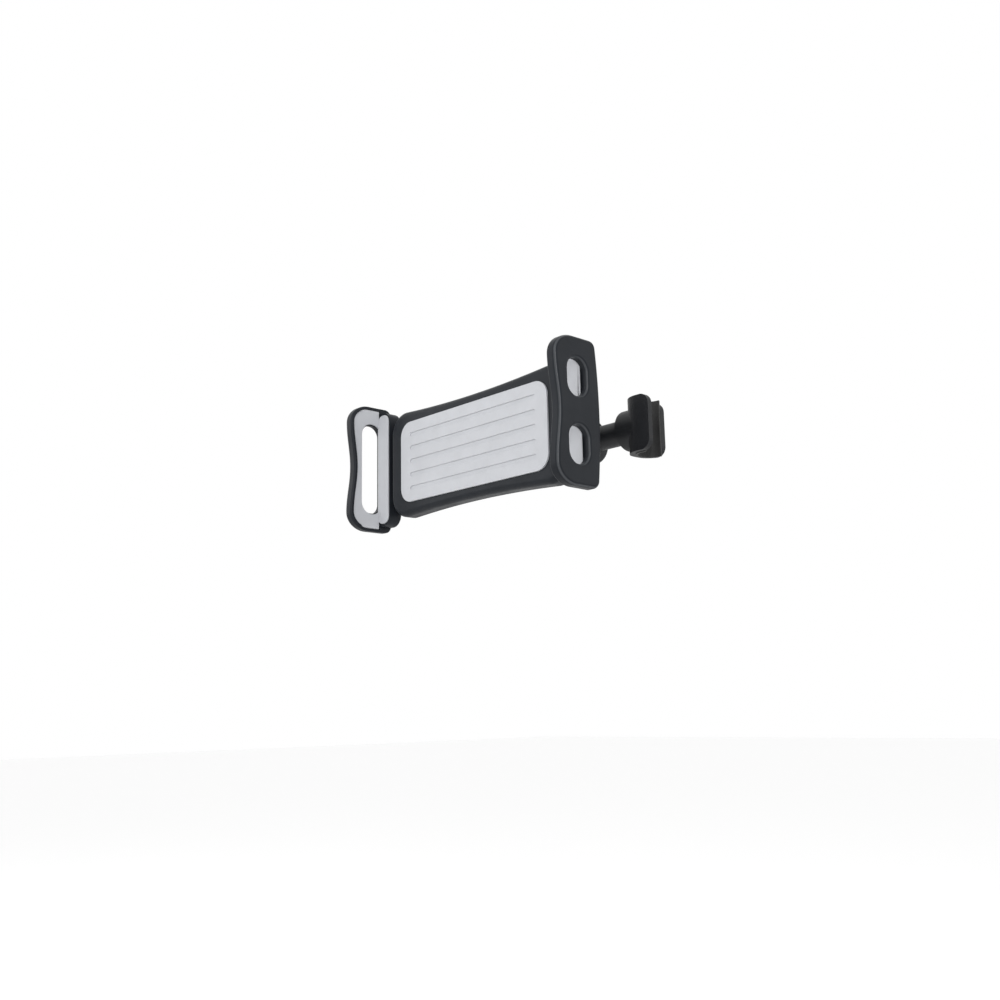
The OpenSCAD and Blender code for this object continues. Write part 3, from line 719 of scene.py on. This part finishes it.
def copy_of(node: str, flat: float = 0.0) -> Piece:
    """A new piece with the mesh of a node of the frame, its doubled corners merged.

    Args:
        node: name of the node.
        flat: as in clean.

    Returns:
        The piece, at the origin.
    """
    piece = bpy.data.objects.new(node, frame["nodes"][node].data.copy())
    bpy.context.scene.collection.objects.link(piece)
    clean(piece, NODE_WELD, flat)
    return piece


def seat(piece: Piece, node: str, body: str, palette: Palette, slot: str) -> None:
    """Puts a finished piece in a node's place.

    Args:
        piece: finished piece.
        node: node that it stands for.
        body: body that it rides on.
        palette: finishes of the holder.
        slot: material slot that it takes.
    """
    piece.name = node + "_dressed"
    piece.data.name = piece.name
    palette.dress(piece, slot)
    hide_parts(node)
    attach(piece, body)
    LOG.info("%s rides on %s with %d faces", piece.name, body, len(piece.data.polygons))


@dataclass
class Jaw:
    """One sprung jaw: a waisted channel with a lip, a back flange and windows, and its soft pad."""

    side: Side
    palette: Palette
    # Levels along X, as distances from the middle of the holder.
    wall_x: float = 77.05  # inner face of the end wall
    outer_x: float = 80.85  # outer face of the end wall
    pad_x: float = 75.85  # face of the pad
    lip_x: float = 75.05  # free edge of the lip
    flange_x: float = 66.95  # free edge of the flange
    # Levels along Y.
    front_y: float = -60.3  # front edge at the waist
    flange_y: float = -42.7  # front face of the flange
    back_y: float = -33.5
    channel_y: float = -55.5  # where the front wall's inside starts
    half_height: float = 35.0
    bulge: float = 2.4  # by which both ends of the front edge pass the waist
    corner: float = 12.0
    corner_rise: float = 10.0
    back_corner: float = 4.0
    crown: float = 1.7
    edge_depth: float = 2.2
    edge_width: float = 1.7
    lip: float = 1.9
    lip_round: float = 1.1
    rim: float = 1.6
    window_y: float = -48.1
    window_width: float = 12.6
    window_height: float = 18.0
    window_pitch: float = 31.5
    window_corner: float = 6.0
    window_flare: float = 1.5
    window_reach: float = 1.8  # of a cutter, past the inner face of the end wall
    flange_margin: float = 3.0
    flange_corner: float = 6.0
    flange_edge: Layer = (2.6, 2.2)
    arm: tuple[float, float, float, float] = (-40.8, -37.2, 5.7, 19.1)  # Y and Z of its pocket
    arm_end_x: float = 76.55
    screw_x: float = 72.35
    screw_z: tuple[float, float] = (8.44, 13.984)
    screw_radius: float = 1.25
    head_radius: float = 2.33
    head_sink: float = 1.45
    pad_play: float = 0.15
    pad_edge: tuple[Layer, ...] = ((0.0, 0.35), (0.08, 0.15), (0.3, 0.0))
    pad_window_gap: float = 0.6
    pad_ease: float = 0.15
    strip_thickness: float = 0.8  # of the pad on the flange, and its distance from the free edge
    strip_margin: float = 4.5
    strip_corner: float = 4.0
    strip_edge: float = 0.4
    shell_ease: float = 0.28
    overshoot: float = 0.6  # of a cutter, past an open face

    @property
    def flip(self) -> bool:
        """Whether this jaw is drawn towards -X."""
        return self.side is Side.LEFT

    @property
    def body(self) -> str:
        """Name of the body that carries this jaw."""
        return "left_slider" if self.flip else "right_slider"

    @property
    def name(self) -> str:
        """Name of this jaw's node."""
        return "left_jaw" if self.flip else "right_jaw"

    def outline(self, points: int = 220) -> list[Point]:
        """Side view of the jaw in Y and Z: waisted front, swollen ends, crowned back.

        Args:
            points: number of points round the outline.

        Returns:
            Evenly spaced points, going round to the left.
        """
        swell = self.half_height - self.corner_rise
        corner_u = self.front_y - self.bulge + self.corner
        back_r = self.back_corner
        back_u = self.back_y - self.crown - back_r
        flat = self.half_height - back_r
        front = []
        for z in [swell * (1 - i / 24) for i in range(49)]:
            wave = (1 - math.cos(math.pi * z / swell)) / 2
            front.append((self.front_y - self.bulge * wave, z))
        back = [(self.back_y - self.crown * (t * t), t * flat)
                for t in [i / 20 - 1 for i in range(1, 40)]]
        ring = (front
                + arc(corner_u, -swell, self.corner, self.corner_rise, 180, 270, 24)[1:]
                + arc(back_u, -flat, back_r, back_r, 270, 360, 10)
                + back
                + arc(back_u, flat, back_r, back_r, 0, 90, 10)
                + arc(corner_u, swell, self.corner, self.corner_rise, 90, 180, 24)[:-1])
        return even(ring, points)

    def long(self, name: str, outline: Sequence[Point], layers: Sequence[Layer]) -> Piece:
        """Draws an outline out along X, on this jaw's side."""
        return draw_out(name, outline, layers, Axis.X, self.flip)

    def box(self, name: str, low: Sequence[float], high: Sequence[float]) -> Piece:
        """A cutter between two corners, on this jaw's side.

        Args:
            name: name of the cutter.
            low: corner with the smallest distance from the middle, Y and Z.
            high: the opposite corner.

        Returns:
            The cutter, at the origin.
        """
        if self.flip:
            return block(name, (-high[0], low[1], low[2]), (-low[0], high[1], high[2]))
        return block(name, low, high)

    def front_of(self, y: float, end_x: float) -> Piece:
        """A block with all that lies in front of a level of Y, to a little past a level of X."""
        return self.box("half", (self.lip_x - 5, -FAR, -FAR), (end_x + 5, y, FAR))

    def windows(self, grow: float, flare: bool) -> list[Piece]:
        """Cutters for the windows.

        Args:
            grow: how much larger than the opening they are.
            flare: True to open the outer rim in a soft flare.

        Returns:
            One cutter for the left jaw, two for the right one.
        """
        if self.flip:
            places = [(0.0, self.window_pitch + self.window_height)]
        else:
            places = [(s * self.window_pitch / 2, self.window_height) for s in (-1, 1)]
        layers: list[Layer] = [(self.wall_x - self.window_reach, -grow)]
        widest = grow
        if flare:
            start = self.outer_x - self.window_flare
            layers.append((start, -grow))
            for a in [math.radians(step) for step in range(15, 91, 15)]:
                layers.append((start + self.window_flare * math.sin(a),
                               -grow - self.window_flare * (1 - math.cos(a))))
            widest += self.window_flare + 0.4
        layers.append((self.outer_x + self.overshoot, -widest))
        cutters = []
        for z, height in places:
            ring = round_rect(self.window_width, height, self.window_corner, 14)
            cutters.append(self.long("window", moved(ring, self.window_y, z), layers))
        return cutters

    def front_cutter(self, ring: Sequence[Point]) -> Piece:
        """The room in front of the flange, less the rounded lip that stays.

        Args:
            ring: outline of the jaw.

        Returns:
            The cutter.
        """
        end_x = self.lip_x + self.lip_round + 0.05
        front = self.box("front", (self.flange_x - 3, self.front_y - self.bulge - 5, -FAR),
                         (end_x, self.flange_y - 0.5, FAR))
        slack = 0.03
        layers = quarter(self.lip_x, self.lip_round, self.lip_round, False)[:-1]
        layers += [(end_x, -slack), (self.lip_x + 3, -slack)]
        carve(front, [self.long("lip", ring, layers)])
        return front

    def room_cutter(self) -> Piece:
        """The room between the pad and the middle of the holder, less the flange that stays.

        Returns:
            The cutter.
        """
        room = self.box("room", (self.flange_x - 3, self.channel_y, -FAR),
                        (self.pad_x, self.back_y + 3, FAR))
        carve(room, [self.flange()])
        return room

    def hollow_cutters(self, ring: Sequence[Point]) -> list[Piece]:
        """The inside of the channel, behind the lip, and the recess that takes the pad.

        Args:
            ring: outline of the jaw.

        Returns:
            Both cutters.
        """
        channel = self.long("channel", ring, [(self.lip_x - 2, self.lip), (self.pad_x, self.lip)])
        carve(channel, [self.front_of(self.channel_y + 1, self.pad_x)], Hollow.KEEP)
        recess = self.long("recess", ring, [(self.pad_x - NIP, self.rim), (self.wall_x, self.rim)])
        carve(recess, [self.front_of(self.flange_y, self.wall_x)], Hollow.KEEP)
        return [channel, recess]

    def flange(self) -> Piece:
        """The form of the thick back flange that takes the end of the arm.

        Returns:
            A block, rounded towards the middle of the holder and at the back.
        """
        width = self.outer_x - self.flange_x + self.flange_corner
        height = 2 * (self.half_height - self.flange_margin)
        plan = moved(round_rect(width, height, self.flange_corner, 12),
                     self.side.value * (self.flange_x + width / 2), 0)
        back = quarter(self.back_y + NIP, *self.flange_edge, True, 8)
        return draw_out("flange", plan, [(self.flange_y, 0.0)] + back, Axis.Y)

    def arm_cutters(self) -> list[Piece]:
        """Cutters for the arm's pocket and for the two screws.

        Returns:
            The pocket, then a shank and a head for each screw.
        """
        y0, y1, z0, z1 = self.arm
        turn = -self.side.value
        low_z, high_z = sorted((turn * z0, turn * z1))
        cutters = [self.box("pocket", (self.flange_x - 1, y0, low_z), (self.arm_end_x, y1, high_z))]
        shank = 2 * (self.back_y - y1) + self.overshoot
        head = 4.0
        head_y = self.back_y + head / 2 - self.head_sink
        for z in self.screw_z:
            x = self.side.value * self.screw_x
            cutters.append(peg("screw", (x, self.back_y, turn * z), self.screw_radius, shank, 32))
            cutters.append(peg("head", (x, head_y, turn * z), self.head_radius, head))
        return cutters

    def shell(self) -> Piece:
        """Models the channel, its flange and its windows.

        Returns:
            The finished jaw.
        """
        ring = self.outline()
        edge = quarter(self.outer_x, self.edge_depth, self.edge_width, True, 10)
        shell = self.long(self.name, ring, [(self.flange_x, 0.0), (self.outer_x - 5, 0.0)] + edge)
        carve(shell, [self.front_cutter(ring), self.room_cutter(), *self.hollow_cutters(ring)])
        carve(shell, self.windows(0.0, True))
        carve(shell, self.arm_cutters())
        clean(shell)
        ease_edges(shell, self.shell_ease, 2, 36.0)
        return shell

    def pad(self) -> Piece:
        """Models the soft sheet on the end wall and on the flange.

        Returns:
            The finished pad.
        """
        fit = self.rim + self.pad_play
        layers = [(self.pad_x + x, fit + drawn_in) for x, drawn_in in self.pad_edge]
        layers.append((self.wall_x, fit))
        top = self.flange_y - self.strip_thickness
        sheet = self.long(self.name + "_pad", self.outline(), layers)
        carve(sheet, [self.front_of(top, self.wall_x)], Hollow.KEEP)
        carve(sheet, self.windows(self.pad_window_gap, False))
        width = self.wall_x - self.flange_x - self.strip_thickness
        height = 2 * (self.half_height - self.strip_margin)
        plan = moved(round_rect(width, height, self.strip_corner, 12),
                     self.side.value * (self.wall_x - width / 2), 0)
        rounding = quarter(top, self.strip_edge, self.strip_edge, False, 4)
        join(sheet, draw_out("strip", plan, rounding + [(self.flange_y, 0.0)], Axis.Y))
        clean(sheet)
        ease_edges(sheet, self.pad_ease, 2, 40.0)
        return sheet

    def build(self) -> None:
        """Makes the jaw and its pad and puts them in their nodes' places."""
        seat(self.shell(), self.name, self.body, self.palette, "cradle_plastic")
        seat(self.pad(), self.name + "_pad", self.body, self.palette, "silicone")


@dataclass
class Housing:
    """The cradle's two shells, with their outer edges rounded in one sweep."""

    palette: Palette
    half_width: float = 66.45
    half_height: float = 29.0
    corner: float = 12.0
    waist: float = 2.0  # by which the long edges draw in at the middle
    front_y: float = -42.7
    back_y: float = -31.5
    edge: float = 3.2  # radius of the rounded outer edge
    front_depth: float = 12.0  # past the inner edge of the front shell
    back_depth: float = 8.0  # past the inner edge of the cover
    boss_radius: float = 20.0
    boss_length: float = 6.0
    ease: float = 0.2

    def outline(self, points: int = 260) -> list[Point]:
        """Front view of the housing: round corners and long edges that draw in.

        Args:
            points: number of points round the outline.

        Returns:
            Evenly spaced points in X and Z, going round to the left.
        """
        chord = self.half_width - self.corner
        bow = (chord ** 2 + self.waist ** 2) / (2 * self.waist)
        top = [(x, self.half_height - self.waist + bow - math.sqrt(bow ** 2 - x ** 2))
               for x in [chord * (1 - i / 20) for i in range(1, 40)]]
        cx, cz, r = chord, self.half_height - self.corner, self.corner
        return even(arc(cx, cz, r, r, 0, 90, 16) + top + arc(-cx, cz, r, r, 90, 180, 16)
                    + arc(-cx, -cz, r, r, 180, 270, 16) + [(-x, -z) for x, z in top]
                    + arc(cx, -cz, r, r, 270, 360, 16), points)

    def front_envelope(self) -> Piece:
        """A block with the outline of the housing, rounded in front.

        Returns:
            The block.
        """
        rounding = quarter(self.front_y, self.edge, self.edge, False, 8)
        layers = rounding + [(self.front_y + self.front_depth, NIP)]
        return draw_out("envelope", self.outline(), layers, Axis.Y)

    def back_envelope(self) -> Piece:
        """A block with the outline of the housing, rounded at the back, and room for its boss.

        Returns:
            The block.
        """
        rounding = quarter(self.back_y, self.edge, self.edge, True, 8)
        layers = [(self.back_y - self.back_depth, NIP)] + rounding
        envelope = draw_out("envelope", self.outline(), layers, Axis.Y)
        join(envelope, peg("boss", (0, self.back_y, 0), self.boss_radius, self.boss_length, 96))
        return envelope

    def build(self) -> None:
        """Rounds both shells and puts them in their nodes' places."""
        shells = {"front_housing": self.front_envelope, "rear_cover": self.back_envelope}
        for node, envelope in shells.items():
            piece = copy_of(node)
            carve(piece, [envelope()], Hollow.KEEP)
            clean(piece, flat=0.4)
            ease_edges(piece, self.ease, 2, 40.0)
            seat(piece, node, "cradle", self.palette, "cradle_plastic")


@dataclass
class Eased:
    """Pieces whose solids are right: each is copied, its edges are rounded and it is dressed."""

    palette: Palette
    # Width of the rounding in mm, and steps over it.
    widths: dict[str, tuple[float, int]] = field(default_factory=lambda: {
        "outer_tube": (0.3, 2), "left_hook": (0.7, 4), "right_hook": (0.7, 4),
        "left_hook_liner": (0.25, 2), "right_hook_liner": (0.25, 2),
        "sliding_rod": (0.3, 2), "lock_collar": (0.25, 2),
        "ball_socket": (0.25, 2), "lock_nut": (0.35, 3),
        "left_arm": (0.2, 2), "right_arm": (0.2, 2), "grip_pad": (0.3, 3),
    })

    def build(self) -> None:
        """Copies, rounds and seats each piece."""
        record = frame["record"]
        slots = {s["node"]: s["material_slot"] for s in record["subparts"]}
        bodies = {node: body for body, members in record["behaviour"]["bodies"].items()
                  for node in members}
        for node, (width, segments) in self.widths.items():
            piece = copy_of(node, 0.4)
            ease_edges(piece, width, segments)
            seat(piece, node, bodies[node], self.palette, slots[node])


@dataclass(frozen=True)
class Lamp:
    """A soft square lamp, or a strip where it has a height; metres and watts."""

    name: str
    spot: tuple[float, float, float]
    size: float
    power: float
    height: float = 0.0

    def build(self, target: Sequence[float]) -> None:
        """Hangs the lamp and aims it.

        Args:
            target: place that it lights, in metres.
        """
        data = bpy.data.lights.new(self.name, "AREA")
        data.size = self.size
        if self.height > 0:
            data.shape = "RECTANGLE"
            data.size_y = self.height
        data.energy = self.power
        lamp = bpy.data.objects.new(self.name, data)
        lamp.location = self.spot
        away = Vector(self.spot) - Vector(target)
        lamp.rotation_euler = away.to_track_quat("Z", "Y").to_euler()
        bpy.context.scene.collection.objects.link(lamp)


@dataclass
class Studio:
    """Pale floor, soft light and the photograph's viewpoint."""

    spot: tuple[float, float, float] = (0.41230, -0.40571, -0.13244)
    turn: tuple[float, float, float] = (100.7041, 1.1391, 47.3357)
    lens: float = 40.1643
    sensor: float = 36.0
    clip: tuple[float, float] = (0.01, 50.0)
    target: tuple[float, float, float] = (0.0, -0.03, 0.0)
    lamps: tuple[Lamp, ...] = (
        Lamp("key", (0.10, -0.95, 0.70), 0.7, 2.4),
        Lamp("fill", (-0.8, -0.7, 0.25), 0.8, 1.7),
        Lamp("strip", (0.72, -0.70, 0.26), 0.05, 2.8, 0.6),
        Lamp("rim", (0.75, 0.55, 0.15), 0.5, 0.45),
    )
    surround: float = 0.85  # strength of the light from all around
    floor_z: float = -0.34
    floor_size: float = 12.0
    floor_tone: float = 0.86
    floor_lift: float = 0.20  # light that only the camera sees on the floor

    def camera(self) -> None:
        """Puts the camera at the photograph's viewpoint."""
        data = bpy.data.cameras.new("viewpoint")
        data.lens = self.lens
        data.sensor_width = self.sensor
        data.clip_start, data.clip_end = self.clip
        camera = bpy.data.objects.new("viewpoint", data)
        camera.location = self.spot
        camera.rotation_euler = [math.radians(a) for a in self.turn]
        bpy.context.scene.collection.objects.link(camera)
        bpy.context.scene.camera = camera

    def seen(self, tree: bpy.types.NodeTree) -> Socket:
        """Tells what is seen, directly, in a reflection or through a piece, from what lights.

        Args:
            tree: node tree of the world.

        Returns:
            1 for a ray that shows the surround, 0 for one that lights the object.
        """
        path = tree.nodes.new("ShaderNodeLightPath")
        seen = path.outputs["Is Camera Ray"]
        for ray in ("Is Glossy Ray", "Is Transmission Ray"):
            either = tree.nodes.new("ShaderNodeMath")
            either.operation = "MAXIMUM"
            tree.links.new(seen, either.inputs[0])
            tree.links.new(path.outputs[ray], either.inputs[1])
            seen = either.outputs[0]
        return seen

    def world(self) -> None:
        """A surround that shows plain white and lights the object softly."""
        world = bpy.data.worlds.new("surround")
        bpy.context.scene.world = world
        world.use_nodes = True
        tree = world.node_tree
        lit = tree.nodes["Background"]
        plain = tree.nodes.new("ShaderNodeBackground")
        for light, strength in ((lit, self.surround), (plain, 1.0)):
            light.inputs["Color"].default_value = (1, 1, 1, 1)
            light.inputs["Strength"].default_value = strength
        mix = tree.nodes.new("ShaderNodeMixShader")
        tree.links.new(self.seen(tree), mix.inputs[0])
        tree.links.new(lit.outputs[0], mix.inputs[1])
        tree.links.new(plain.outputs[0], mix.inputs[2])
        tree.links.new(mix.outputs[0], tree.nodes["World Output"].inputs["Surface"])

    def floor(self) -> None:
        """A wide pale floor below the holder, a little brighter to the camera."""
        bpy.ops.object.select_all(action="DESELECT")
        bpy.ops.mesh.primitive_plane_add(size=self.floor_size, location=(0, 0, self.floor_z))
        floor = bpy.context.object
        floor.name = "floor"
        material = bpy.data.materials.new("pale floor")
        material.use_nodes = True
        tree = material.node_tree
        shader = tree.nodes["Principled BSDF"]
        shader.inputs["Base Color"].default_value = (*[self.floor_tone] * 3, 1)
        shader.inputs["Roughness"].default_value = 0.7
        shader.inputs["Emission Color"].default_value = (1, 1, 1, 1)
        path = tree.nodes.new("ShaderNodeLightPath")
        lift = tree.nodes.new("ShaderNodeMath")
        lift.operation = "MULTIPLY"
        lift.inputs[1].default_value = self.floor_lift
        tree.links.new(path.outputs["Is Camera Ray"], lift.inputs[0])
        tree.links.new(lift.outputs[0], shader.inputs["Emission Strength"])
        floor.data.materials.append(material)

    def build(self) -> None:
        """Sets camera, floor, surround and lamps."""
        self.camera()
        self.floor()
        self.world()
        for lamp in self.lamps:
            lamp.build(self.target)
        bpy.context.scene.view_settings.view_transform = "Standard"


def dress_frame(palette: Palette) -> None:
    """Gives every node of the frame its finish."""
    for part in frame["record"]["subparts"]:
        palette.dress(frame["nodes"][part["node"]], part["material_slot"])


def main() -> None:
    """Builds the studio and each sub-assembly in order."""
    logging.basicConfig(level=logging.INFO, format="%(message)s")
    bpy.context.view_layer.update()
    Studio().build()
    palette = Palette()
    palette.build()
    dress_frame(palette)
    for side in Side:
        Jaw(side, palette).build()
    Housing(palette).build()
    Eased(palette).build()
    LOG.info("boxes written")


if __name__ == "__main__":
    main()
